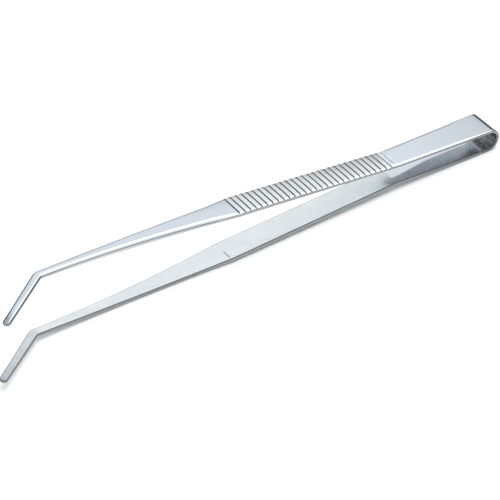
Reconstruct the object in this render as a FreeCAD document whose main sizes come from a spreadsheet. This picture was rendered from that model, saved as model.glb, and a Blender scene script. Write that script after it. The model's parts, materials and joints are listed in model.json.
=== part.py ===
import FreeCAD, Part
import math
import os
import Sketcher

# Stamp tongs folded from one strip of stainless steel: a round bow, two flat springy legs,
# two ribbed grips, two tapered shanks and two tips bent to one side.
# Every sketch is drawn in the strip's own frame, in millimetres: X from the back of the bow
# towards the tips, Y across the strip, Z from the closing plane, where the tips meet, to the
# upper arm. A Placement then lays each piece on the table, as the finished tongs lie there.

doc = FreeCAD.newDocument("StampTongs")
sheet = doc.addObject("Spreadsheet::Sheet", "Dims")

dimensions = [
    ("overall_length", 155.0, "back of the bow to the end of a tip"),
    ("bow_radius", 3.4, "outside of the bow; also height of a leg's outside"),
    ("strip_thickness", 1.0, "bow and legs"),
    ("grip_thickness", 1.3, "front of a grip"),
    ("bend_thickness", 1.2, "front of a shank"),
    ("tip_thickness", 1.15, "end of a tip"),
    ("flex_line", 17.5, "middle of a leg, about which an arm turns"),
    ("junction", 33.0, "leg to grip"),
    ("grip_end", 83.4, "grip to shank"),
    ("bend_start", 138.2, "shank to tip"),
    ("grip_half_height", 7.49, "outside of a grip's front above the closing plane"),
    ("bend_half_height", 9.54, "outside of a shank's front above the closing plane"),
    ("tip_half_height", 9.2, "outside of a tip's end above the closing plane"),
    ("arm_curve_radius", 620.0, "shank and tip, seen from the side"),
    ("bow_half_width", 4.2, "back of the bow"),
    ("junction_half_width", 3.45, "leg to grip"),
    ("grip_half_width", 3.5, "front of a grip"),
    ("bend_half_width", 1.18, "front of a shank"),
    ("tip_half_width", 1.0, "tip, and radius of its end"),
    ("waist_radius", 910.0, "hollow side of a shank, seen from above"),
    ("tip_angle", 34.6, "turn of a tip to one side, in degrees"),
    ("bend_radius", 2.45, "middle line of that turn"),
    ("stock_width", 30.0, "blank that a piece is cut from"),
    ("shoulder_radius", 0.85, "outer long edges of grips, shanks and tips"),
    ("leg_shoulder_radius", 0.6, "outer long edges of the bow and the legs"),
    ("inner_edge_radius", 0.12, "inner long edges"),
    ("rib_pitch", 1.7, "one rib and one groove"),
    ("groove_width", 0.42, "groove between two ribs"),
    ("groove_depth", 0.3, "groove between two ribs"),
    ("groove_count", 30, "grooves on a grip"),
    ("front_groove_gap", 0.35, "middle of the first groove to the front of the grip"),
]

for row, (alias, size, note) in enumerate(dimensions, start=1):
    sheet.set(f"A{row}", note)
    sheet.set(f"B{row}", str(size))
    sheet.setAlias(f"B{row}", alias)
doc.recompute()

# Heights above the closing plane and half widths of the strip, station by station.
leg_top = "Dims.bow_radius"
leg_under = "(Dims.bow_radius - Dims.strip_thickness)"
grip_top = "Dims.grip_half_height"
grip_under = "(Dims.grip_half_height - Dims.grip_thickness)"
bend_top = "Dims.bend_half_height"
bend_under = "(Dims.bend_half_height - Dims.bend_thickness)"
tip_top = "Dims.tip_half_height"
tip_under = "(Dims.tip_half_height - Dims.tip_thickness)"
leg_taper = "(Dims.bow_half_width - Dims.junction_half_width) / Dims.junction"
flex_half_width = f"(Dims.bow_half_width - {leg_taper} * Dims.flex_line)"


def amount(expression):
    """The number that an expression gives with the sheet's present sizes."""
    answer = sheet.evalExpression(expression)
    return float(getattr(answer, "Value", answer))


def mirrored(expression, side):
    """The expression itself on the upper or near side (1), its negative on the other (-1)."""
    return expression if side > 0 else f"-({expression})"


# Sketches


def pin(sketch, element, end, spot):
    """Holds one end of a line or arc at a place given by two expressions."""
    for kind, across, expression in zip(("DistanceX", "DistanceY"), (-2, -1), spot):
        distance = amount(expression)
        if abs(distance) < 1e-9:
            sketch.addConstraint(Sketcher.Constraint("PointOnObject", element, end, across))
        elif distance < 0:
            row = sketch.addConstraint(
                Sketcher.Constraint(kind, element, end, -1, 1, -distance)
            )
            sketch.setExpression(f"Constraints[{row}]", f"-({expression})")
        else:
            row = sketch.addConstraint(
                Sketcher.Constraint(kind, -1, 1, element, end, distance)
            )
            sketch.setExpression(f"Constraints[{row}]", expression)


def arc_between(first, last, radius, turn):
    """The short arc from first to last, bending to the left (turn 1) or the right (-1)."""
    chord = last - first
    leftwards = FreeCAD.Vector(-chord.y, chord.x, 0) / chord.Length
    rise = math.sqrt(radius**2 - chord.Length**2 / 4)
    centre = (first + last) / 2 + leftwards * rise * turn
    circle = Part.Circle(centre, FreeCAD.Vector(0, 0, 1), radius)
    begin, finish = (first, last) if turn > 0 else (last, first)
    return Part.ArcOfCircle(circle, circle.parameter(begin), circle.parameter(finish))


def draw_loop(sketch, corners):
    """Draws a closed outline; a corner is (x, y), or (x, y, radius, turn) if an arc leaves it."""
    places = [FreeCAD.Vector(amount(c[0]), amount(c[1]), 0) for c in corners]
    ends = []
    for index, corner in enumerate(corners):
        here = places[index]
        there = places[(index + 1) % len(corners)]
        if len(corner) == 2:
            ends.append((sketch.addGeometry(Part.LineSegment(here, there)), 1, 2))
            continue
        radius, turn = corner[2:]
        arc = sketch.addGeometry(arc_between(here, there, amount(radius), turn))
        row = sketch.addConstraint(Sketcher.Constraint("Radius", arc, amount(radius)))
        sketch.setExpression(f"Constraints[{row}]", radius)
        ends.append((arc, 1, 2) if turn > 0 else (arc, 2, 1))
    for index, corner in enumerate(corners):
        element, begin, _ = ends[index]
        before, _, finish = ends[index - 1]
        sketch.addConstraint(Sketcher.Constraint("Coincident", before, finish, element, begin))
        pin(sketch, element, begin, corner[:2])


def new_sketch(body, view, plane_role):
    plane = next(f for f in body.Origin.OriginFeatures if f.Role == plane_role)
    sketch = body.newObject("Sketcher::SketchObject", f"{body.Name}_{view}")
    sketch.AttachmentSupport = [(plane, "")]
    sketch.MapMode = "FlatFace"
    doc.recompute()
    return sketch


# Features


def pad_both_ways(body, sketch):
    pad = body.newObject("PartDesign::Pad", f"{body.Name}_blank")
    pad.Profile = sketch
    pad.SideType = "Symmetric"
    pad.setExpression("Length", "Dims.stock_width")
    doc.recompute()


def pocket_through(body, sketch, name):
    before = body.Shape.Volume
    pocket = body.newObject("PartDesign::Pocket", f"{body.Name}_{name}")
    pocket.Profile = sketch
    pocket.Type = "ThroughAll"
    pocket.SideType = "Symmetric"
    doc.recompute()
    if body.Shape.Volume >= before:
        raise RuntimeError(f"{pocket.Name} cuts nothing")
    return pocket


def trim_sides(body, back, front, waist=None):
    """Cuts a blank's two sides to the plan; back and front are (x, half width)."""
    sketch = new_sketch(body, "plan", "XY_Plane")
    clear = "(Dims.stock_width / 2 + 1)"
    for side in (1, -1):
        start = (back[0], mirrored(back[1], side))
        if waist:
            start += (waist, side)
        edge_of_stock = mirrored(clear, side)
        draw_loop(
            sketch,
            [
                start,
                (front[0], mirrored(front[1], side)),
                (front[0], edge_of_stock),
                (back[0], edge_of_stock),
            ],
        )
    doc.recompute()
    pocket_through(body, sketch, "sides")


# How far, as a share of a whole, a face's normal leans across the strip or away from it.
side_lean = 0.5
flat_lean = 0.3


def middle_normal(face):
    low_u, high_u, low_v, high_v = face.ParameterRange
    return face.normalAt((low_u + high_u) / 2, (low_v + high_v) / 2)


def long_edges(shape, outer):
    """Names of the edges where the strip's outer, or inner, face meets its sides."""
    anchor = FreeCAD.Vector(amount("Dims.bow_radius"), 0, 0)
    sides = [face for face in shape.Faces if abs(middle_normal(face).y) > side_lean]
    side_edges = [edge for face in sides for edge in face.Edges]
    names = []
    for face in shape.Faces:
        normal = middle_normal(face)
        faces_out = normal.dot(face.CenterOfMass - anchor) > 0
        if abs(normal.y) > side_lean or abs(normal.z) < flat_lean or faces_out != outer:
            continue
        for edge in face.Edges:
            if any(edge.isSame(other) for other in side_edges):
                index = next(i for i, e in enumerate(shape.Edges, 1) if e.isSame(edge))
                names.append(f"Edge{index}")
    return names


def round_long_edges(body, outer, radius):
    solid = body.Tip
    names = long_edges(body.Shape, outer)
    fillet = body.newObject(
        "PartDesign::Fillet", f"{body.Name}_{'shoulders' if outer else 'inner_edges'}"
    )
    fillet.Base = (solid, names)
    fillet.setExpression("Radius", radius)
    doc.recompute()


def new_body(name):
    body = doc.addObject("PartDesign::Body", name)
    body.Label = name
    doc.recompute()
    return body


# Pieces. An arm's pieces are made once for the upper arm (side 1) and once for the lower (-1).


def make_spring_bow():
    """The fold and the back half of each leg, in one piece."""
    body = new_body("spring_bow")
    profile = new_sketch(body, "side", "XZ_Plane")
    draw_loop(
        profile,
        [
            ("Dims.flex_line", leg_top),
            ("Dims.bow_radius", leg_top, "Dims.bow_radius", 1),
            ("0", "0", "Dims.bow_radius", 1),
            ("Dims.bow_radius", f"-{leg_top}"),
            ("Dims.flex_line", f"-{leg_top}"),
            ("Dims.flex_line", f"-{leg_under}"),
            ("Dims.bow_radius", f"-{leg_under}", leg_under, -1),
            ("Dims.strip_thickness", "0", leg_under, -1),
            ("Dims.bow_radius", leg_under),
            ("Dims.flex_line", leg_under),
        ],
    )
    doc.recompute()
    pad_both_ways(body, profile)
    behind = ("-1", f"(Dims.bow_half_width + {leg_taper})")
    trim_sides(body, behind, ("Dims.flex_line", flex_half_width))
    round_long_edges(body, True, "Dims.leg_shoulder_radius")
    round_long_edges(body, False, "Dims.inner_edge_radius")
    return body


def make_leg(arm, side):
    """The front half of a leg, which swings with its arm."""
    body = new_body(f"{arm}_leg")
    profile = new_sketch(body, "side", "XZ_Plane")
    draw_loop(
        profile,
        [
            ("Dims.flex_line", mirrored(leg_top, side)),
            ("Dims.junction", mirrored(leg_top, side)),
            ("Dims.junction", mirrored(leg_under, side)),
            ("Dims.flex_line", mirrored(leg_under, side)),
        ],
    )
    doc.recompute()
    pad_both_ways(body, profile)
    trim_sides(
        body,
        ("Dims.flex_line", flex_half_width),
        ("Dims.junction", "Dims.junction_half_width"),
    )
    round_long_edges(body, True, "Dims.leg_shoulder_radius")
    round_long_edges(body, False, "Dims.inner_edge_radius")
    return body


def cut_grooves(body, side):
    """One groove at the front of a grip, repeated back along its slope."""
    sketch = new_sketch(body, "groove", "XZ_Plane")
    middle = "(Dims.grip_end - Dims.front_groove_gap)"
    slope = "(Dims.grip_half_height - Dims.bow_radius) / (Dims.grip_end - Dims.junction)"
    rib_top = f"(Dims.grip_half_height - {slope} * Dims.front_groove_gap)"
    floor = mirrored(f"{rib_top} - Dims.groove_depth", side)
    clear = mirrored(f"{rib_top} + 1", side)
    draw_loop(
        sketch,
        [
            (f"{middle} - Dims.groove_width / 2", floor),
            (f"{middle} + Dims.groove_width / 2", floor),
            (f"{middle} + Dims.groove_width / 2", clear),
            (f"{middle} - Dims.groove_width / 2", clear),
        ],
    )
    front = FreeCAD.Vector(amount("Dims.grip_end"), side * amount(grip_top), 0)
    back = FreeCAD.Vector(amount("Dims.junction"), side * amount(leg_top), 0)
    slope_line = sketch.addGeometry(Part.LineSegment(front, back), True)
    pin(sketch, slope_line, 1, ("Dims.grip_end", mirrored(grip_top, side)))
    pin(sketch, slope_line, 2, ("Dims.junction", mirrored(leg_top, side)))
    doc.recompute()
    groove = pocket_through(body, sketch, "front_groove")
    one_cut = body.Shape.Volume
    row = body.newObject("PartDesign::LinearPattern", f"{body.Name}_grooves")
    row.Originals = [groove]
    row.Direction = (sketch, ["Axis0"])
    row.setExpression("Length", "Dims.rib_pitch * (Dims.groove_count - 1)")
    row.setExpression("Occurrences", "Dims.groove_count")
    body.Tip = row
    doc.recompute()
    if body.Shape.Volume >= one_cut:
        row.Reversed = True
        doc.recompute()
    if body.Shape.Volume >= one_cut:
        raise RuntimeError(f"{row.Name} repeats nothing")


def make_grip(arm, side):
    """The ribbed finger grip."""
    body = new_body(f"{arm}_grip")
    profile = new_sketch(body, "side", "XZ_Plane")
    draw_loop(
        profile,
        [
            ("Dims.junction", mirrored(leg_top, side)),
            ("Dims.grip_end", mirrored(grip_top, side)),
            ("Dims.grip_end", mirrored(grip_under, side)),
            ("Dims.junction", mirrored(leg_under, side)),
        ],
    )
    doc.recompute()
    pad_both_ways(body, profile)
    trim_sides(
        body,
        ("Dims.junction", "Dims.junction_half_width"),
        ("Dims.grip_end", "Dims.grip_half_width"),
    )
    round_long_edges(body, True, "Dims.shoulder_radius")
    round_long_edges(body, False, "Dims.inner_edge_radius")
    cut_grooves(body, side)
    return body


def make_shank(arm, side):
    """The slender part between the grip and the tip, bowed outwards and waisted."""
    body = new_body(f"{arm}_shank")
    profile = new_sketch(body, "side", "XZ_Plane")
    draw_loop(
        profile,
        [
            ("Dims.grip_end", mirrored(grip_top, side), "Dims.arm_curve_radius", -side),
            ("Dims.bend_start", mirrored(bend_top, side)),
            ("Dims.bend_start", mirrored(bend_under, side), "Dims.arm_curve_radius", side),
            ("Dims.grip_end", mirrored(grip_under, side)),
        ],
    )
    doc.recompute()
    pad_both_ways(body, profile)
    trim_sides(
        body,
        ("Dims.grip_end", "Dims.grip_half_width"),
        ("Dims.bend_start", "Dims.bend_half_width"),
        waist="Dims.waist_radius",
    )
    round_long_edges(body, True, "Dims.shoulder_radius")
    round_long_edges(body, False, "Dims.inner_edge_radius")
    return body


def make_tip(arm, side):
    """The bent tip: drawn from above, then cut to its thickness from the side."""
    body = new_body(f"{arm}_tip")
    sine = "sin(Dims.tip_angle * 1 deg)"
    cosine = "cos(Dims.tip_angle * 1 deg)"
    outer_bend = "(Dims.bend_radius + Dims.bend_half_width)"
    inner_bend = "(Dims.bend_radius - Dims.bend_half_width)"
    end_x = "(Dims.overall_length - Dims.tip_half_width)"
    run = f"({end_x} - Dims.bend_start - Dims.bend_radius * {sine})"
    end_y = f"(Dims.bend_radius * (1 - {cosine}) + {run} * {sine} / {cosine})"
    plan = new_sketch(body, "plan", "XY_Plane")
    draw_loop(
        plan,
        [
            ("Dims.bend_start", "-Dims.bend_half_width", outer_bend, 1),
            (
                f"Dims.bend_start + {outer_bend} * {sine}",
                f"Dims.bend_radius - {outer_bend} * {cosine}",
            ),
            (
                f"{end_x} + Dims.tip_half_width * {sine}",
                f"{end_y} - Dims.tip_half_width * {cosine}",
                "Dims.tip_half_width",
                1,
            ),
            (
                f"{end_x} + Dims.tip_half_width * {cosine}",
                f"{end_y} + Dims.tip_half_width * {sine}",
                "Dims.tip_half_width",
                1,
            ),
            (
                f"{end_x} - Dims.tip_half_width * {sine}",
                f"{end_y} + Dims.tip_half_width * {cosine}",
            ),
            (
                f"Dims.bend_start + {inner_bend} * {sine}",
                f"Dims.bend_radius - {inner_bend} * {cosine}",
                inner_bend,
                -1,
            ),
            ("Dims.bend_start", "Dims.bend_half_width"),
        ],
    )
    doc.recompute()
    pad_both_ways(body, plan)
    faces = new_sketch(body, "side", "XZ_Plane")
    past_end = "(Dims.overall_length + 1)"
    past_stock = "(Dims.stock_width / 2 + 1)"
    for start, finish, limit in (
        (bend_top, tip_top, mirrored(past_stock, side)),
        (bend_under, tip_under, mirrored(past_stock, -side)),
    ):
        draw_loop(
            faces,
            [
                ("Dims.bend_start", mirrored(start, side), "Dims.arm_curve_radius", -side),
                ("Dims.overall_length", mirrored(finish, side)),
                (past_end, mirrored(finish, side)),
                (past_end, limit),
                ("Dims.bend_start", limit),
            ],
        )
    doc.recompute()
    pocket_through(body, faces, "faces")
    round_long_edges(body, True, "Dims.shoulder_radius")
    round_long_edges(body, False, "Dims.inner_edge_radius")
    return body


def resting_turn():
    """Angle in degrees by which the strip's frame tips back when the tongs lie on a table.

    The bow and the lower shank both touch the table, so it is the tangent of two circles.
    """
    bow = amount("Dims.bow_radius")
    arm = amount("Dims.arm_curve_radius")
    start_x, start_z = amount("Dims.grip_end"), -amount(grip_top)
    chord_x = amount("Dims.bend_start") - start_x
    chord_z = -amount(bend_top) - start_z
    chord = math.hypot(chord_x, chord_z)
    rise = math.sqrt(arm**2 - chord**2 / 4)
    centre_x = start_x + chord_x / 2 - chord_z / chord * rise
    centre_z = start_z + chord_z / 2 + chord_x / chord * rise
    reach_x = centre_x - bow
    reach = math.hypot(reach_x, centre_z)
    return math.degrees(math.asin((arm - bow) / reach) - math.atan2(centre_z, reach_x))


def lay_down(bodies):
    """Turns the pieces over together and sets the origin on the table, under their middle."""
    half_turn = FreeCAD.Rotation(FreeCAD.Vector(0, 0, 1), 180)
    tip_back = FreeCAD.Rotation(FreeCAD.Vector(0, 1, 0), resting_turn())
    turn = tip_back.multiply(half_turn)
    around = FreeCAD.BoundBox()
    for body in bodies:
        body.Placement = FreeCAD.Placement(FreeCAD.Vector(), turn)
        around.add(body.Shape.optimalBoundingBox(False, False))
    shift = FreeCAD.Vector(-around.Center.x, -around.Center.y, -around.ZMin)
    for body in bodies:
        body.Placement = FreeCAD.Placement(shift, turn)
    return FreeCAD.Placement(shift, turn)


def check(bodies):
    for item in doc.Objects:
        if "Invalid" in item.State or "Error" in item.State:
            raise RuntimeError(f"{item.Label} failed: {item.State}")
    for body in bodies:
        if body.Shape.isNull() or not body.Shape.isValid() or len(body.Shape.Solids) != 1:
            raise RuntimeError(f"{body.Label} is not one good solid")


pieces = [make_spring_bow()]
for arm, side in (("upper", 1), ("lower", -1)):
    for make in (make_leg, make_grip, make_shank, make_tip):
        pieces.append(make(arm, side))

doc.recompute()
on_table = lay_down(pieces)
doc.recompute()
check(pieces)

os.makedirs("parts", exist_ok=True)
for body in pieces:
    body.Shape.exportStep(os.path.join("parts", f"{body.Label}.step"))
    print(f"{body.Label}: {body.Shape.Volume:.1f} mm3")
print(f"tipped back {resting_turn():.3f} degrees, moved by {on_table.Base}")
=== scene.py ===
import json
import math

import bmesh
import bpy
from mathutils import Matrix, Vector


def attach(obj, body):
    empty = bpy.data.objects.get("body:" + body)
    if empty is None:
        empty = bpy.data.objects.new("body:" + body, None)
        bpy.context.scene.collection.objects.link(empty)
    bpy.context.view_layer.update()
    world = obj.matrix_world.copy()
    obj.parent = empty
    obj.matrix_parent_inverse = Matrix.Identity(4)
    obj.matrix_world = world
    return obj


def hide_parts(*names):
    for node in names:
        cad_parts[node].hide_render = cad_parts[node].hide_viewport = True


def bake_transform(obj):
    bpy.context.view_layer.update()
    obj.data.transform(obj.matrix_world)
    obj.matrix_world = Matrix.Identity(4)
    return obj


# Stamp tongs: one folded strip of stainless steel with ribbed grips and bent tips.
# Sizes are millimetres in the strip's own frame: x from the back of the bow to the tips,
# y across the strip, z from the closing plane, where the tips meet, to the upper arm.
# A side is 1 on the upper arm and -1 on the lower arm.

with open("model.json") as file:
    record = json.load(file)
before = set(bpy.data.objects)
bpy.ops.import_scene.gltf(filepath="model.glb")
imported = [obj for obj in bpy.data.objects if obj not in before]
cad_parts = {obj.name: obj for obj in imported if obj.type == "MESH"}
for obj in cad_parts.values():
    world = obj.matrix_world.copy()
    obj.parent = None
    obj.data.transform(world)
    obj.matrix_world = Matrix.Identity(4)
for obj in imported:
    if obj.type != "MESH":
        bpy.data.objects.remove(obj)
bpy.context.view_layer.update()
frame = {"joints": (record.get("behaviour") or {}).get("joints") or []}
millimetre = 0.001

strip = {
    "flexLine": 17.5,  # the hinges stand here
    "bowRadius": 3.4,  # outside of the bow and height of a leg
    "thickness": 1.0,  # bow and legs
    "legStart": 5.0,  # bow to leg
    "junction": 33.0,  # leg to grip
    "gripEnd": 83.4,  # grip to shank
    "bendStart": 138.2,  # shank to tip
    "tipEnd": 155.0,
    "outerHeights": (7.49, 9.54, 9.2),  # front of the grip, the shank and the tip
    "thicknesses": (1.3, 1.2, 1.15),  # at the same places
    "armCurve": 620.0,  # radius of shank and tip, seen from the side
    "halfWidths": (4.2, 3.45, 3.5, 1.18, 1.0),  # bow, junction, grip, bend, tip end
    "waistCurve": 910.0,  # radius of a shank's hollow sides
    "wornEdges": (  # place along, width and slope in degrees of the worn edge, corner radius
        (0.0, 0.35, 24, 0.12),
        (6.0, 0.35, 24, 0.12),
        (12.0, 0.95, 25, 0.14),
        (29.0, 1.0, 25, 0.14),
        (36.0, 0.85, 29, 0.16),
        (82.0, 0.85, 29, 0.16),
        (90.0, 1.2, 56, 0.24),
        (136.0, 0.9, 56, 0.24),
        (141.0, 0.92, 52, 0.12),
    ),
    "paintedRimSlope": 54.43,  # degrees past which the outer corner is painted dark, a painted dark reflection line
    "innerEdge": 0.24,  # rounding of the inner long edges
    "nearFall": 0.5,  # how much the lower leg is thinner at its edge on the tips' side
    "nearFallEnd": 31.5,  # where that starts, behind the grip
    "nearFallGrowth": 11.0,  # length over which it grows, towards the bow
    "shankSwell": 0.35,  # how much thicker the upper shank is in its middle
    "crown": 0.03,  # how far the outer face falls towards its edges
    "step": 1.0,  # between two sections of a straight piece
    "bowStep": 4,  # degrees between two sections of the bow
}

# The two hinges stand on the legs' inner faces, so they give the strip's frame.
hinges = {joint["name"]: joint for joint in frame["joints"]}
upperHinge = Vector(hinges["upper_arm_squeeze"]["pos_m"])
lowerHinge = Vector(hinges["lower_arm_squeeze"]["pos_m"])
heightWay = (upperHinge - lowerHinge).normalized()
acrossWay = Vector(hinges["upper_arm_squeeze"]["axis"])
lengthWay = acrossWay.cross(heightWay)
foldPoint = (upperHinge + lowerHinge) / 2 - lengthWay * strip["flexLine"] * millimetre
stripTurn = Matrix((lengthWay, acrossWay, heightWay)).transposed()


def place(x, y, z):
    return foldPoint + stripTurn @ Vector((x, y, z)) * millimetre


def arcHeight(x, start, end, radius, bulge):
    # height at x of the arc from start to end; bulge 1 is crowned, -1 hollow
    chord = Vector(end) - Vector(start)
    middle = (Vector(start) + Vector(end)) / 2
    depth = math.sqrt(radius * radius - chord.length_squared / 4)
    centre = middle - Vector((-chord.y, chord.x)).normalized() * depth * bulge
    return centre.y + bulge * math.sqrt(radius * radius - (x - centre.x) ** 2)


def heightAlong(x, heights):
    # heights are those of the leg, the front of the grip, of the shank and of the tip
    if x <= strip["junction"]:
        return heights[0]
    if x <= strip["gripEnd"]:
        share = (x - strip["junction"]) / (strip["gripEnd"] - strip["junction"])
        return heights[0] + (heights[1] - heights[0]) * share
    if x <= strip["bendStart"]:
        ends = (strip["gripEnd"], heights[1]), (strip["bendStart"], heights[2])
    else:
        ends = (strip["bendStart"], heights[2]), (strip["tipEnd"], heights[3])
    return arcHeight(x, *ends, strip["armCurve"], 1)


outerHeights = (strip["bowRadius"], *strip["outerHeights"])
innerHeights = (
    strip["bowRadius"] - strip["thickness"],
    *(high - thick for high, thick in zip(strip["outerHeights"], strip["thicknesses"])),
)


def outerHeight(x):
    return heightAlong(x, outerHeights)


def thickness(x, side):
    # the upper shank swells a little between its ends
    start, end = strip["gripEnd"], strip["bendStart"]
    share = 4 * max(0, (x - start) * (end - x)) / (end - start) ** 2
    swell = strip["shankSwell"] * share * (1 + side) / 2
    return outerHeight(x) - heightAlong(x, innerHeights) + swell


def halfWidth(x):
    bow, junction, grip, bend, tip = strip["halfWidths"]
    if x <= strip["junction"]:
        return bow + (junction - bow) * x / strip["junction"]
    if x <= strip["gripEnd"]:
        share = (x - strip["junction"]) / (strip["gripEnd"] - strip["junction"])
        return junction + (grip - junction) * share
    if x <= strip["bendStart"]:
        ends = (strip["gripEnd"], grip), (strip["bendStart"], bend)
        return arcHeight(x, *ends, strip["waistCurve"], -1)
    reach = strip["tipEnd"] - tip - strip["bendStart"]
    return bend + (tip - bend) * min(1, (x - strip["bendStart"]) / reach)


def wornEdge(x):
    # width, slope and corner radius of the worn outer edge at x
    stops = strip["wornEdges"]
    for (start, *low), (end, *high) in zip(stops, stops[1:]):
        if x <= end:
            share = (x - start) / (end - start)
            return [a + (b - a) * share for a, b in zip(low, high)]
    return stops[-1][1:]


def nearFall(x, side):
    # slope of the inner face across the lower leg; the upper one has none
    grown = (strip["nearFallEnd"] - x) / strip["nearFallGrowth"]
    share = min(1, max(0, grown)) * (1 - side) / 2
    return -strip["nearFall"] * share / (2 * halfWidth(x))


outerFinish, edgeFinish, innerFinish, paintedRimFinish, floorFinish, frostFinish = range(6)
wornSteps = 10
cornerSteps = 6
innerSteps = 3


def halfSection(wide, thick, worn, floor=0.0):
    # From the middle of the outer face round to the middle of the inner face. Each entry is
    # a place across, a depth below the outer face, and the finish from there to the next.
    broad, slope, radius = worn
    slope = math.radians(slope)
    paintedRimStart = math.radians(strip["paintedRimSlope"])
    curve = broad / math.sin(slope)
    flat = wide - broad - radius * (1 - math.sin(slope))
    crown = strip["crown"]
    corner = strip["innerEdge"]
    points = [(flat * f, crown * f * f, outerFinish) for f in (0, 0.3, 0.6, 0.85, 0.98)]
    for step in range(wornSteps):
        angle = slope * step / wornSteps
        depth = crown + curve * (1 - math.cos(angle))
        points.append((flat + curve * math.sin(angle), depth, outerFinish))
    deep = crown + curve * (1 - math.cos(slope))
    # Past the rim slope the outer corner takes the dark rim finish: a painted dark reflection
    # line.
    for step in range(cornerSteps):
        angle = slope + (math.pi / 2 - slope) * step / cornerSteps
        across = wide - radius * (1 - math.sin(angle))
        depth = deep + radius * (math.cos(slope) - math.cos(angle))
        points.append((across, depth, paintedRimFinish if angle > paintedRimStart else outerFinish))
    deep += radius * math.cos(slope)
    points.append((wide, deep, edgeFinish))
    # The inner edge rounding takes the dark rim finish too: a painted line of shade.
    for step in range(innerSteps + 1):
        angle = math.pi / 2 * step / innerSteps
        across = wide - corner * (1 - math.cos(angle))
        points.append((across, thick - corner * (1 - math.sin(angle)), paintedRimFinish))
    points[-1] = (*points[-1][:2], innerFinish)
    points += [((wide - corner) * f, thick, innerFinish) for f in (0.98, 0.85, 0.5, 0)]
    milled = [(across, floor, floorFinish) for across, depth, _ in points if depth < floor]
    return milled + points[len(milled):]


def wholeSection(half):
    # one closed loop: down the positive side, back up the negative one
    back = [(-across, depth, half[i - 1][2]) for i, (across, depth, _) in enumerate(half)]
    return half[:-1] + [(0, half[-1][1], half[-2][2])] + back[-2:0:-1]


def flatLid(mesh, row, finish):
    face = mesh.faces.new(row)
    face.material_index = finish
    face.smooth = False
    for edge in face.edges:
        edge.smooth = False


def finishedObject(name, mesh, finishes):
    bmesh.ops.remove_doubles(mesh, verts=mesh.verts, dist=1e-7)
    bmesh.ops.recalc_face_normals(mesh, faces=mesh.faces)
    data = bpy.data.meshes.new(name)
    mesh.to_mesh(data)
    mesh.free()
    for finish in finishes:
        data.materials.append(finish)
    piece = bpy.data.objects.new(name, data)
    bpy.context.scene.collection.objects.link(piece)
    return piece


def loft(name, rings, loops, finishes, roundEnd=None):
    # rings are lists of world points, loops the section entries that they came from
    mesh = bmesh.new()
    rows = [[mesh.verts.new(point) for point in ring] for ring in rings]
    count = len(rows[0])
    for first, second, loop in zip(rows, rows[1:], loops):
        for i in range(count):
            j = (i + 1) % count
            face = mesh.faces.new((first[i], first[j], second[j], second[i]))
            face.smooth = True
            face.material_index = loop[i][2]
    lids = [rows[0]] if roundEnd else [rows[0], rows[-1]]
    for row in lids:
        flatLid(mesh, row, edgeFinish)
    if roundEnd:
        roundEnd(mesh, rows[-1], loops[-1])
    return finishedObject(name, mesh, finishes)


# Materials

coolSteel = (0.83, 0.91, 0.99)
plainSteel = (0.875, 0.935, 0.975)
cloudStretch = (0.35, 1, 1)  # cloudy shades are longer along the strip than across it


def addNode(tree, kind, **settings):
    node = tree.nodes.new(kind)
    for key, value in settings.items():
        if key in node.inputs:
            node.inputs[key].default_value = value
        else:
            setattr(node, key, value)
    return node


def stripCoordinates(tree):
    # object coordinates turned into the strip's frame, in millimetres
    coordinates = addNode(tree, "ShaderNodeTexCoord")
    mapping = addNode(tree, "ShaderNodeMapping", vector_type="TEXTURE")
    mapping.inputs["Location"].default_value = foldPoint
    mapping.inputs["Rotation"].default_value = stripTurn.to_euler()
    mapping.inputs["Scale"].default_value = (millimetre,) * 3
    tree.links.new(coordinates.outputs["Object"], mapping.inputs["Vector"])
    return mapping.outputs["Vector"]


def grain(tree, source, stretch, size, detail=3.0):
    spread = addNode(tree, "ShaderNodeMapping", vector_type="POINT")
    spread.inputs["Scale"].default_value = stretch
    noise = addNode(tree, "ShaderNodeTexNoise", Scale=1 / size, Detail=detail)
    tree.links.new(source, spread.inputs["Vector"])
    tree.links.new(spread.outputs["Vector"], noise.inputs["Vector"])
    return noise.outputs["Fac"]


def rangeOf(tree, source, low, high, start=0.3, end=0.7):
    node = addNode(tree, "ShaderNodeMapRange")
    node.inputs["From Min"].default_value = start
    node.inputs["From Max"].default_value = end
    node.inputs["To Min"].default_value = low
    node.inputs["To Max"].default_value = high
    tree.links.new(source, node.inputs["Value"])
    return node.outputs["Result"]


def mathOf(tree, operation, first, second):
    node = addNode(tree, "ShaderNodeMath", operation=operation)
    for socket, value in zip(node.inputs, (first, second)):
        if isinstance(value, (int, float)):
            socket.default_value = value
        else:
            tree.links.new(value, socket)
    return node.outputs[0]


def levelsAlong(tree, source, levels):
    # shade along the strip: levels are places in millimetres and the shade there
    parts = addNode(tree, "ShaderNodeSeparateXYZ")
    tree.links.new(source, parts.inputs["Vector"])
    ramp = addNode(tree, "ShaderNodeValToRGB")
    elements = ramp.color_ramp.elements
    while len(elements) < len(levels):
        elements.new(0.5)
    for element, (spot, level) in zip(elements, levels):
        element.position = spot / strip["tipEnd"]
        element.color = (level, level, level, 1)
    tree.links.new(mathOf(tree, "DIVIDE", parts.outputs["X"], strip["tipEnd"]), ramp.inputs["Fac"])
    return ramp.outputs["Color"]


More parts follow.
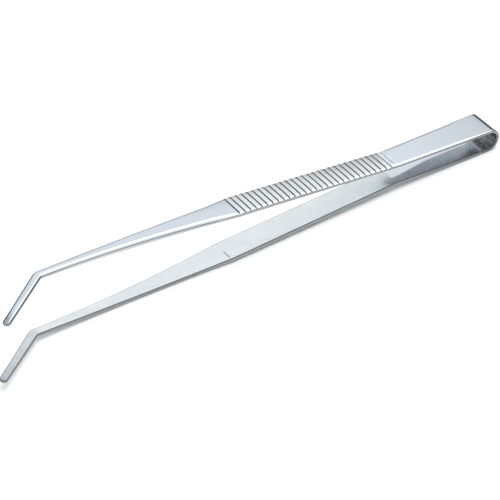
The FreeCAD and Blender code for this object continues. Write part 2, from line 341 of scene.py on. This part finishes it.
def scribedLine(tree, source, mark):
    # 1 everywhere but in one short fine line across the strip
    parts = addNode(tree, "ShaderNodeSeparateXYZ")
    tree.links.new(source, parts.inputs["Vector"])
    offAlong = mathOf(tree, "SUBTRACT", parts.outputs["X"], mark["along"])
    offAlong = mathOf(tree, "ABSOLUTE", offAlong, 0)
    offAcross = mathOf(tree, "SUBTRACT", parts.outputs["Y"], mark["across"])
    offAcross = mathOf(tree, "ABSOLUTE", offAcross, 0)
    fine = rangeOf(tree, offAlong, 1, 0, mark["width"] * 0.4, mark["width"])
    short = rangeOf(tree, offAcross, 1, 0, mark["length"] * 0.35, mark["length"] * 0.5)
    short = mathOf(tree, "MULTIPLY", short, mark["depth"])
    return mathOf(tree, "SUBTRACT", 1, mathOf(tree, "MULTIPLY", fine, short))


def steel(name, look):
    material = bpy.data.materials.new(name)
    material.use_nodes = True
    tree = material.node_tree
    shader = tree.nodes["Principled BSDF"]
    shader.inputs["Metallic"].default_value = 1.0
    source = stripCoordinates(tree)
    lines = grain(tree, source, look["stretch"], look["grain"])
    clouds = grain(tree, source, cloudStretch, look["cloud"], 2.0)
    low, high = look["rough"]
    tree.links.new(rangeOf(tree, lines, low, high), shader.inputs["Roughness"])
    mixed = addNode(tree, "ShaderNodeMix", data_type="FLOAT")
    mixed.inputs["Factor"].default_value = look.get("lineShare", 0.4)
    tree.links.new(clouds, mixed.inputs["A"])
    tree.links.new(lines, mixed.inputs["B"])
    shade = rangeOf(tree, mixed.outputs["Result"], *look["level"])
    if "along" in look:
        shade = mathOf(tree, "MULTIPLY", shade, levelsAlong(tree, source, look["along"]))
    if "mark" in look:
        shade = mathOf(tree, "MULTIPLY", shade, scribedLine(tree, source, look["mark"]))
    tint = addNode(tree, "ShaderNodeVectorMath", operation="SCALE")
    tint.inputs[0].default_value = look.get("tint", coolSteel)
    tree.links.new(shade, tint.inputs["Scale"])
    tree.links.new(tint.outputs["Vector"], shader.inputs["Base Color"])
    bump = addNode(tree, "ShaderNodeBump", Strength=look["bump"])
    bump.inputs["Distance"].default_value = look["relief"] * millimetre
    tree.links.new(lines, bump.inputs["Height"])
    tree.links.new(bump.outputs["Normal"], shader.inputs["Normal"])
    return material


# Levels scale the steel's colour, grain and cloud are sizes in millimetres, and relief is the
# bump's depth. Along gives places along the strip and the shade there.
steelLooks = {
    "polishedSteel": {
        "level": (0.83, 0.89),
        # Along paints a dark reflection across the back of the fold and on the tip's end, and
        # greys the face towards the bow.
        "along": (
            (0, 0.40),
            (1.8, 0.45),
            (3.0, 0.80),
            (7, 0.88),
            (24, 1.0),
            (151, 1.0),
            (154.5, 0.45),
        ),
        "rough": (0.07, 0.12),
        "stretch": (0.06, 1, 1),
        "grain": 0.5,
        "cloud": 6.0,
        "bump": 0.12,
        "relief": 0.002,
    },
    # The side walls: level and along are painted shade that darkens the sheared edges, most along
    # the legs and on the tips.
    "shearedWallShade": {
        "level": (0.86, 1.0),
        "along": (
            (0, 0.28),
            (12, 0.24),
            (33, 0.27),
            (80, 0.38),
            (95, 0.54),
            (130, 0.58),
            (143, 0.25),
        ),
        "rough": (0.22, 0.34),
        "stretch": (0.08, 1, 1),
        "grain": 0.35,
        "cloud": 5.0,
        "bump": 0.4,
        "relief": 0.004,
        "tint": (0.88, 0.90, 0.92),
    },
    # The lower arm's side walls: the same sheared edges with more painted shade, for the shadowed
    # floor below them.
    "lowerWallShade": {
        "level": (0.80, 1.0),
        "along": ((0, 0.36), (33, 0.38), (55, 0.46), (75, 0.44), (130, 0.40), (143, 0.28)),
        "rough": (0.24, 0.36),
        "stretch": (0.08, 1, 1),
        "grain": 0.35,
        "cloud": 5.0,
        "bump": 0.4,
        "relief": 0.004,
        "tint": (0.88, 0.90, 0.92),
    },
    "satinSteel": {
        "level": (0.86, 1.04),
        "lineShare": 0.6,
        "tint": plainSteel,
        # Along paints shade next to the junction.
        "along": ((33, 0.90), (60, 1.0), (136, 1.0)),
        "rough": (0.24, 0.40),
        "stretch": (0.16, 1, 1),
        "grain": 0.5,
        "cloud": 3.0,
        "bump": 0.5,
        "relief": 0.006,
        "mark": {"along": 84.1, "across": 1.4, "width": 0.24, "length": 3.0, "depth": 0.6},
    },
    "serratedSteel": {
        "level": (0.66, 1.02),
        "lineShare": 0.75,
        "tint": plainSteel,
        "along": ((138, 1.0), (146, 0.92), (155, 0.74)),
        "rough": (0.28, 0.42),
        "stretch": (1, 0.3, 1),
        "grain": 0.35,
        "cloud": 1.2,
        "bump": 0.7,
        "relief": 0.012,
    },
    # Painted dark line on the strip's corners: a painted reflection on the outer corner and
    # painted shade on the inner edge rounding.
    "paintedDarkRim": {
        "level": (0.17, 0.25),
        "rough": (0.30, 0.42),
        "stretch": (0.1, 1, 1),
        "grain": 0.4,
        "cloud": 3.0,
        "bump": 0.3,
        "relief": 0.004,
        "tint": (0.96, 0.96, 0.95),
    },
    # Painted shade inside the fold, on the bow's inside and the upper leg's underside.
    "foldShadeSteel": {
        "level": (0.30, 0.40),
        "along": ((0, 1.2), (10, 1.1), (20, 0.75), (33, 0.70)),
        "rough": (0.22, 0.34),
        "stretch": (0.2, 1, 1),
        "grain": 0.5,
        "cloud": 1.5,
        "bump": 0.04,
        "relief": 0.004,
        "tint": (0.92, 0.95, 1.0),
    },
    "ribSteel": {
        "level": (0.93, 1.0),
        "tint": (0.92, 0.96, 0.99),
        "rough": (0.08, 0.15),
        "stretch": (1, 0.15, 1),
        "grain": 0.3,
        "cloud": 2.5,
        "bump": 0.4,
        "relief": 0.004,
    },
    # Painted shade in the grooves between the ribs, on the milled floor.
    "grooveShadeSteel": {
        "level": (0.15, 0.27),
        "rough": (0.40, 0.55),
        "stretch": (1, 0.2, 1),
        "grain": 0.2,
        "cloud": 1.5,
        "bump": 0.5,
        "relief": 0.006,
    },
    "frostedSteel": {
        "level": (0.80, 1.15),
        "rough": (0.35, 0.55),
        "stretch": (1, 1, 1),
        "grain": 0.35,
        "cloud": 0.8,
        "bump": 0.8,
        "relief": 0.03,
    },
}
steels = {name: steel(name, look) for name, look in steelLooks.items()}
print("materials:", len(steels))


def finishList(*names):
    return [steels[name] for name in names]


bowFinishes = finishList("polishedSteel", "shearedWallShade", "foldShadeSteel", "paintedDarkRim")
legFinishes = {
    1: bowFinishes,
    -1: finishList("polishedSteel", "lowerWallShade", "polishedSteel", "paintedDarkRim"),
}
# side wall finishes with painted shade, for each arm
wallShades = {1: "shearedWallShade", -1: "lowerWallShade"}


def shankFinishes(side):
    return finishList("polishedSteel", wallShades[side], "satinSteel", "paintedDarkRim")


def tipFinishes(side):
    return finishList("polishedSteel", wallShades[side], "serratedSteel", "paintedDarkRim")


def gripFinishes(side):
    return shankFinishes(side) + finishList("grooveShadeSteel", "frostedSteel")


# Strip pieces

def stations(start, end, step):
    count = max(1, round((end - start) / step))
    return [start + (end - start) * i / count for i in range(count + 1)]


def straightRing(x, side, floor=0.0):
    thick = thickness(x, side)
    loop = wholeSection(halfSection(halfWidth(x), thick, wornEdge(x), floor))
    top = outerHeight(x)
    fall = nearFall(x, side) / thick
    ring = []
    for across, depth, _ in loop:
        depth += depth * across * fall
        ring.append(place(x, across, side * (top - depth)))
    return ring, loop


def makeBow():
    rings = []
    loops = []
    radius = strip["bowRadius"]
    straight = stations(radius, strip["legStart"], 0.4)
    for x in reversed(straight[1:]):
        ring, loop = straightRing(x, -1)
        rings.append(ring)
        loops.append(loop)
    for angle in stations(-90, 90, strip["bowStep"]):
        turn = math.radians(angle)
        x = radius * (1 - math.cos(turn))
        thick = strip["thickness"]
        loop = wholeSection(halfSection(halfWidth(x), thick, wornEdge(x)))
        fall = nearFall(x, math.sin(turn)) / thick
        ring = []
        for across, depth, _ in loop:
            reach = radius - depth - depth * across * fall
            ring.append(place(radius - reach * math.cos(turn), across, reach * math.sin(turn)))
        rings.append(ring)
        loops.append(loop)
    for x in straight[1:]:
        ring, loop = straightRing(x, 1)
        rings.append(ring)
        loops.append(loop)
    return loft("springBow", rings, loops, bowFinishes)


def makeStraight(name, start, end, side, finishes):
    made = [straightRing(x, side) for x in stations(start, end, strip["step"])]
    return loft(name, [ring for ring, _ in made], [loop for _, loop in made], finishes)


tip = {
    "angle": 34.6,  # turn to one side, degrees
    "bendRadius": 2.45,
    "bendSteps": 14,
    "straightSteps": 12,
    "endSteps": 18,  # round the end, seen from above
}


def makeTip(name, side):
    turn = math.radians(tip["angle"])
    start = strip["bendStart"]
    radius = tip["bendRadius"]
    endRadius = strip["halfWidths"][4]
    bendX = start + radius * math.sin(turn)
    bendY = radius * (1 - math.cos(turn))
    endX = strip["tipEnd"] - endRadius
    endY = bendY + (endX - bendX) * math.tan(turn)
    stops = []
    for step in range(tip["bendSteps"] + 1):
        angle = turn * step / tip["bendSteps"]
        stops.append((start + radius * math.sin(angle), radius * (1 - math.cos(angle)), angle))
    for step in range(1, tip["straightSteps"] + 1):
        share = step / tip["straightSteps"]
        stops.append((bendX + (endX - bendX) * share, bendY + (endY - bendY) * share, turn))
    rings = []
    loops = []

    def lay(x, y, depth):
        return place(x, y, side * (outerHeight(min(x, strip["tipEnd"])) - depth))

    for x, y, angle in stops:
        loop = wholeSection(halfSection(halfWidth(x), thickness(x, side), wornEdge(x)))
        rings.append([
            lay(x - across * math.sin(angle), y + across * math.cos(angle), depth)
            for across, depth, _ in loop
        ])
        loops.append(loop)

    def roundEnd(mesh, row, loop):
        # the last half section turned half a circle about its middle
        half = len(row) // 2
        previous = row[: half + 1]
        opposite = [row[0]] + row[:half - 1:-1]
        for step in range(1, tip["endSteps"] + 1):
            swing = turn + math.pi / 2 - math.pi * step / tip["endSteps"]
            if step == tip["endSteps"]:
                current = opposite
            else:
                current = [previous[0]]
                for across, depth, _ in loop[1:half]:
                    x = endX + across * math.cos(swing)
                    y = endY + across * math.sin(swing)
                    current.append(mesh.verts.new(lay(x, y, depth)))
                current.append(previous[half])
            for i in range(half):
                corners = []
                for corner in (previous[i], previous[i + 1], current[i + 1], current[i]):
                    if corner not in corners:
                        corners.append(corner)
                face = mesh.faces.new(corners)
                face.smooth = True
                face.material_index = loop[i][2]
            previous = current

    return loft(name, rings, loops, tipFinishes(side), roundEnd)


grip = {
    "pitch": 1.7,
    "grooveWidth": 0.46,
    "grooveDepth": 0.21,
    "frostStep": 0.03,  # depth of the half-milled place behind the ribs
    "frostSlope": 0.2,  # length of the slopes into that place and into its faint groove
    "grooveSlope": 0.04,  # length of the milled floor's slope at its two ends
    "frontGroove": 83.05,  # middle of the first groove
    "ribCount": 28,
    "ribRounding": 0.07,
    "ribRoundingSteps": 4,
    "ribFlatStart": 0.04,  # flat top next to the rounding
    "ribFoot": 0.14,  # how far a rib reaches below the milled floor
    "ribWrap": 0.08,  # how far below it a rib's top follows the strip's edge
    "unevenness": 0.35,  # degrees by which a rib leans at random
    "seed": 7,
}


def floorProfile():
    # places along the grip and the depth of the milled floor there, back to front
    back = grip["frontGroove"] - grip["pitch"] * grip["ribCount"] - grip["grooveWidth"] / 2
    front = grip["frontGroove"] + grip["grooveWidth"] / 2
    faint = back - grip["pitch"] + grip["grooveWidth"] / 2
    step = grip["frostStep"]
    slope = grip["frostSlope"]
    steep = grip["grooveSlope"]
    deep = grip["grooveDepth"]
    profile = [(strip["junction"], 0), (strip["junction"] + slope, step)]
    profile += [(faint - slope, step), (faint, step * 3), (faint + slope, step)]
    profile += [(faint + slope * 4, step * 0.8), (back - steep, step * 0.8), (back, deep)]
    profile += [(x, deep) for x in stations(back, front, strip["step"])[1:]]
    return profile + [(front + steep, 0), (strip["gripEnd"], 0)]


def frosted(entry):
    across, depth, finish = entry
    if depth < grip["grooveDepth"] and finish in (outerFinish, floorFinish):
        finish = frostFinish
    return across, depth, finish


def makeGripBar(name, side):
    profile = floorProfile()
    made = [straightRing(x, side, depth) for x, depth in profile]
    loops = []
    for (x, depth), (_, loop) in zip(profile, made):
        behindRibs = depth < grip["grooveDepth"] and x < grip["frontGroove"] - grip["pitch"]
        loops.append([frosted(entry) for entry in loop] if behindRibs else loop)
    return loft(name, [ring for ring, _ in made], loops, gripFinishes(side))


def ribShape():
    # one rib at the origin: length way x, across y, its top at z = 0; metres
    wide = (strip["halfWidths"][1] + strip["halfWidths"][2]) / 2
    half = (grip["pitch"] - grip["grooveWidth"]) / 2
    rounding = grip["ribRounding"]
    foot = grip["grooveDepth"] + grip["ribFoot"]
    middle = (strip["junction"] + strip["gripEnd"]) / 2
    profile = []
    for across, depth, _ in halfSection(wide, strip["thicknesses"][0], wornEdge(middle)):
        if depth < grip["grooveDepth"] + grip["ribWrap"]:
            profile.append((across, depth))
    profile = [(-across, depth) for across, depth in profile[:0:-1]] + profile
    mesh = bmesh.new()
    rows = []
    for across, depth in profile:
        ring = [(-half, -foot)]
        for step in range(grip["ribRoundingSteps"] + 1):
            angle = math.pi / 2 * step / grip["ribRoundingSteps"]
            along = -half + rounding * (1 - math.cos(angle))
            ring.append((along, -depth - rounding * (1 - math.sin(angle))))
        ring.append((rounding + grip["ribFlatStart"] - half, -depth))
        ring += [(-along, height) for along, height in reversed(ring)]
        corners = [Vector((along, across, height)) * millimetre for along, height in ring]
        rows.append([mesh.verts.new(corner) for corner in corners])
    count = len(rows[0])
    for first, second in zip(rows, rows[1:]):
        for i in range(count):
            j = (i + 1) % count
            face = mesh.faces.new((first[i], first[j], second[j], second[i]))
            face.smooth = True
    for row in (rows[0], rows[-1]):
        flatLid(mesh, row, outerFinish)
    return finishedObject("ribShape", mesh, [])


def numberSocket(sockets, name):
    # a random value node has one socket of this name for each kind of data
    return next(socket for socket in sockets if socket.name == name and socket.type == "VALUE")


def ribTree():
    tree = bpy.data.node_groups.new("ribRow", "GeometryNodeTree")
    sockets = (
        ("Rib", "NodeSocketObject"),
        ("Ribs", "NodeSocketInt"),
        ("First rib", "NodeSocketVector"),
        ("Step", "NodeSocketVector"),
        ("Turn", "NodeSocketVector"),
        ("Lean", "NodeSocketFloat"),
        ("Seed", "NodeSocketInt"),
        ("Finish", "NodeSocketMaterial"),
    )
    tree.interface.new_socket("Geometry", in_out="INPUT", socket_type="NodeSocketGeometry")
    for name, kind in sockets:
        tree.interface.new_socket(name, in_out="INPUT", socket_type=kind)
    tree.interface.new_socket("Geometry", in_out="OUTPUT", socket_type="NodeSocketGeometry")
    given = tree.nodes.new("NodeGroupInput").outputs
    result = tree.nodes.new("NodeGroupOutput")
    line = tree.nodes.new("GeometryNodeMeshLine")
    tree.links.new(given["Ribs"], line.inputs["Count"])
    tree.links.new(given["First rib"], line.inputs["Start Location"])
    tree.links.new(given["Step"], line.inputs["Offset"])
    rib = tree.nodes.new("GeometryNodeObjectInfo")
    tree.links.new(given["Rib"], rib.inputs["Object"])
    negative = mathOf(tree, "MULTIPLY", given["Lean"], -1)
    lean = addNode(tree, "FunctionNodeRandomValue", data_type="FLOAT")
    tree.links.new(negative, numberSocket(lean.inputs, "Min"))
    tree.links.new(given["Lean"], numberSocket(lean.inputs, "Max"))
    tree.links.new(given["Seed"], lean.inputs["Seed"])
    tilt = tree.nodes.new("ShaderNodeCombineXYZ")
    tree.links.new(numberSocket(lean.outputs, "Value"), tilt.inputs["Y"])
    facing = tree.nodes.new("FunctionNodeEulerToRotation")
    tree.links.new(given["Turn"], facing.inputs[0])
    rocking = tree.nodes.new("FunctionNodeEulerToRotation")
    tree.links.new(tilt.outputs[0], rocking.inputs[0])
    both = addNode(tree, "FunctionNodeRotateRotation", rotation_space="LOCAL")
    tree.links.new(facing.outputs[0], both.inputs["Rotation"])
    tree.links.new(rocking.outputs[0], both.inputs["Rotate By"])
    scatter = tree.nodes.new("GeometryNodeInstanceOnPoints")
    tree.links.new(line.outputs["Mesh"], scatter.inputs["Points"])
    tree.links.new(rib.outputs["Geometry"], scatter.inputs["Instance"])
    tree.links.new(both.outputs["Rotation"], scatter.inputs["Rotation"])
    real = tree.nodes.new("GeometryNodeRealizeInstances")
    tree.links.new(scatter.outputs["Instances"], real.inputs["Geometry"])
    paint = tree.nodes.new("GeometryNodeSetMaterial")
    tree.links.new(real.outputs["Geometry"], paint.inputs["Geometry"])
    tree.links.new(given["Finish"], paint.inputs["Material"])
    tree.links.new(paint.outputs["Geometry"], result.inputs[0])
    return tree


ribRow = ribTree()
ribModel = ribShape()


def makeRibs(name, side):
    pitch = grip["pitch"]
    frontRib = grip["frontGroove"] - pitch / 2
    backRib = frontRib - pitch * (grip["ribCount"] - 1)
    first = place(frontRib, 0, side * outerHeight(frontRib))
    last = place(backRib, 0, side * outerHeight(backRib))
    along = (first - last).normalized()
    outward = (heightWay * side - along * along.dot(heightWay * side)).normalized()
    turn = Matrix((along, outward.cross(along), outward)).transposed()
    values = {
        "Rib": ribModel,
        "Ribs": grip["ribCount"],
        "First rib": first,
        "Step": (last - first) / (grip["ribCount"] - 1),
        "Turn": turn.to_euler(),
        "Lean": math.radians(grip["unevenness"]),
        "Seed": grip["seed"] + side,
        "Finish": steels["ribSteel"],
    }
    host = bpy.data.objects.new("ribHost", bpy.data.meshes.new("ribHost"))
    bpy.context.scene.collection.objects.link(host)
    modifier = host.modifiers.new("ribs", "NODES")
    modifier.node_group = ribRow
    for item in ribRow.interface.items_tree:
        if item.in_out == "INPUT" and item.name in values:
            modifier[item.identifier] = values[item.name]
    bpy.context.view_layer.update()
    seen = host.evaluated_get(bpy.context.evaluated_depsgraph_get())
    data = bpy.data.meshes.new_from_object(seen)
    data.name = name
    bpy.data.objects.remove(host)
    piece = bpy.data.objects.new(name, data)
    bpy.context.scene.collection.objects.link(piece)
    return piece


# Assembly

bow = makeBow()
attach(bow, "bow")
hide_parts("spring_bow")
print("bow made")

legStart = strip["legStart"]
junction = strip["junction"]
for arm, side in (("upper", 1), ("lower", -1)):
    body = arm + "_arm"
    leg = makeStraight(arm + "Leg", legStart, junction, side, legFinishes[side])
    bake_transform(leg)
    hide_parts(arm + "_leg")
    bar = makeGripBar(arm + "GripBar", side)
    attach(bar, body)
    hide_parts(arm + "_grip")
    ribs = makeRibs(arm + "Ribs", side)
    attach(ribs, body)
    shankEnds = strip["gripEnd"], strip["bendStart"]
    shank = makeStraight(arm + "Shank", *shankEnds, side, shankFinishes(side))
    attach(shank, body)
    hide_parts(arm + "_shank")
    bentTip = makeTip(arm + "Tip", side)
    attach(bentTip, body)
    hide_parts(arm + "_tip")
    print(arm, "arm made")
bpy.data.objects.remove(ribModel)

# Studio

studio = {
    "floorSize": 3.0,  # metres
    "floorShade": 0.90,
    "floorRoughness": 0.9,
    "floorShine": 0.1,
    "skyLevels": (  # sine of the elevation and brightness there
        (0.0, 0.08),
        (0.30, 0.12),
        (0.41, 0.42),
        (0.48, 0.93),
        (0.72, 0.94),
        (0.86, 1.15),
        (1.0, 1.15),
    ),
    "glowWay": (0.48, 0.84, 0.22),  # a second pale patch low behind the tongs
    "glowSpread": (0.955, 0.98),  # cosines of the angles where it starts and is full
    "glowLevel": 0.60,
    "horizonFade": 0.02,  # sine of the elevation over which the sky fades at the floor
    "sideLamp": {"size": 0.44, "place": (0.55, -0.04, 0.65), "power": 0.58},  # metres, watts
    "topLamp": {"size": 0.6, "place": (0.0, 0.0, 0.8), "power": 5.0},
    "sensor": 36,  # millimetres, as are the lens and the two places below
    "lens": 210.8,
    "lookFrom": (-342.88, -421.07, 461.28),
    "lookAt": (-5.78, -5.53, 8.0),
    "roll": 3.79,  # degrees
}


def makeFloor():
    half = studio["floorSize"] / 2
    data = bpy.data.meshes.new("studioFloor")
    corners = [(-half, -half, 0), (half, -half, 0), (half, half, 0), (-half, half, 0)]
    data.from_pydata(corners, [], [(0, 1, 2, 3)])
    material = bpy.data.materials.new("paleFloor")
    material.use_nodes = True
    shader = material.node_tree.nodes["Principled BSDF"]
    shade = studio["floorShade"]
    shader.inputs["Base Color"].default_value = (shade, shade, shade, 1)
    shader.inputs["Roughness"].default_value = studio["floorRoughness"]
    shader.inputs["Specular IOR Level"].default_value = studio["floorShine"]
    data.materials.append(material)
    floor = bpy.data.objects.new("studioFloor", data)
    bpy.context.scene.collection.objects.link(floor)


def makeSky():
    world = bpy.data.worlds.new("studioSky")
    world.use_nodes = True
    tree = world.node_tree
    coordinates = tree.nodes.new("ShaderNodeTexCoord")
    parts = tree.nodes.new("ShaderNodeSeparateXYZ")
    ramp = tree.nodes.new("ShaderNodeValToRGB")
    elements = ramp.color_ramp.elements
    highest = max(level for _, level in studio["skyLevels"])
    while len(elements) < len(studio["skyLevels"]):
        elements.new(0.5)
    for element, (height, level) in zip(elements, studio["skyLevels"]):
        element.position = height
        element.color = (level / highest, level / highest, level / highest, 1)
    nearness = addNode(tree, "ShaderNodeVectorMath", operation="DOT_PRODUCT")
    nearness.inputs[1].default_value = Vector(studio["glowWay"]).normalized()
    tree.links.new(coordinates.outputs["Generated"], nearness.inputs[0])
    glowLevel = studio["glowLevel"] / highest
    glow = rangeOf(tree, nearness.outputs["Value"], 0, glowLevel, *studio["glowSpread"])
    sky = mathOf(tree, "MAXIMUM", ramp.outputs["Color"], glow)
    fade = studio["horizonFade"]
    above = rangeOf(tree, parts.outputs["Z"], 0, 1, -fade, fade)
    background = tree.nodes["Background"]
    background.inputs["Strength"].default_value = highest
    tree.links.new(coordinates.outputs["Generated"], parts.inputs["Vector"])
    tree.links.new(parts.outputs["Z"], ramp.inputs["Fac"])
    tree.links.new(mathOf(tree, "MULTIPLY", sky, above), background.inputs["Color"])
    bpy.context.scene.world = world


def makeLamp(name, mirrored):
    # a lamp that is not mirrored brightens the floor without showing in the steel
    settings = studio[name]
    data = bpy.data.lights.new(name, "AREA")
    data.shape = "SQUARE"
    data.size = settings["size"]
    data.energy = settings["power"]
    lamp = bpy.data.objects.new(name, data)
    lamp.location = settings["place"]
    lamp.rotation_euler = Vector(settings["place"]).to_track_quat("Z", "Y").to_euler()
    lamp.visible_glossy = mirrored
    bpy.context.scene.collection.objects.link(lamp)


def makeCamera():
    data = bpy.data.cameras.new("studioCamera")
    data.sensor_width = studio["sensor"]
    data.lens = studio["lens"]
    data.clip_start = 0.01
    camera = bpy.data.objects.new("studioCamera", data)
    bpy.context.scene.collection.objects.link(camera)
    eye = Vector(studio["lookFrom"]) * millimetre
    aim = Vector(studio["lookAt"]) * millimetre
    turn = (aim - eye).to_track_quat("-Z", "Y").to_matrix()
    turn = turn @ Matrix.Rotation(math.radians(studio["roll"]), 3, "Z")
    camera.matrix_world = Matrix.Translation(eye) @ turn.to_4x4()
    bpy.context.scene.camera = camera


makeFloor()
makeSky()
makeLamp("sideLamp", True)
makeLamp("topLamp", False)
makeCamera()
bpy.context.scene.view_settings.view_transform = "Standard"
print("studio made")
